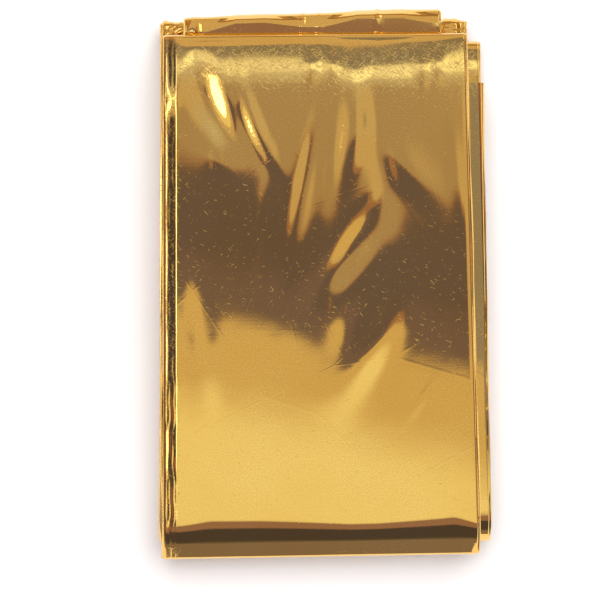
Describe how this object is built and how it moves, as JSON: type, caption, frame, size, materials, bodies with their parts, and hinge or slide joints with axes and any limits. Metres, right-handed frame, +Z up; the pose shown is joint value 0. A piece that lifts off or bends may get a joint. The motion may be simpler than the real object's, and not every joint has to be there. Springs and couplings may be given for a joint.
{
  "type": "emergency foil blanket",
  "caption": "Gold and silver metallised film rescue blanket, folded flat back and forth into a pocket-size rectangular bundle with a rolled lower end and a standing fold at the top.",
  "frame": {"origin": "under the middle of the folded bundle's bounding box, on its flat underside", "axes": "+Z up through the face that shows, +Y along the bundle's length towards the end with the standing fold, +X across it to the right"},
  "size_m": [0.0793, 0.131, 0.0184],
  "materials": {
    "gold_film": "polished"
  },
  "bodies": {
    "root": {"foil_blanket": "gold_film"}
  },
  "joints": []
}
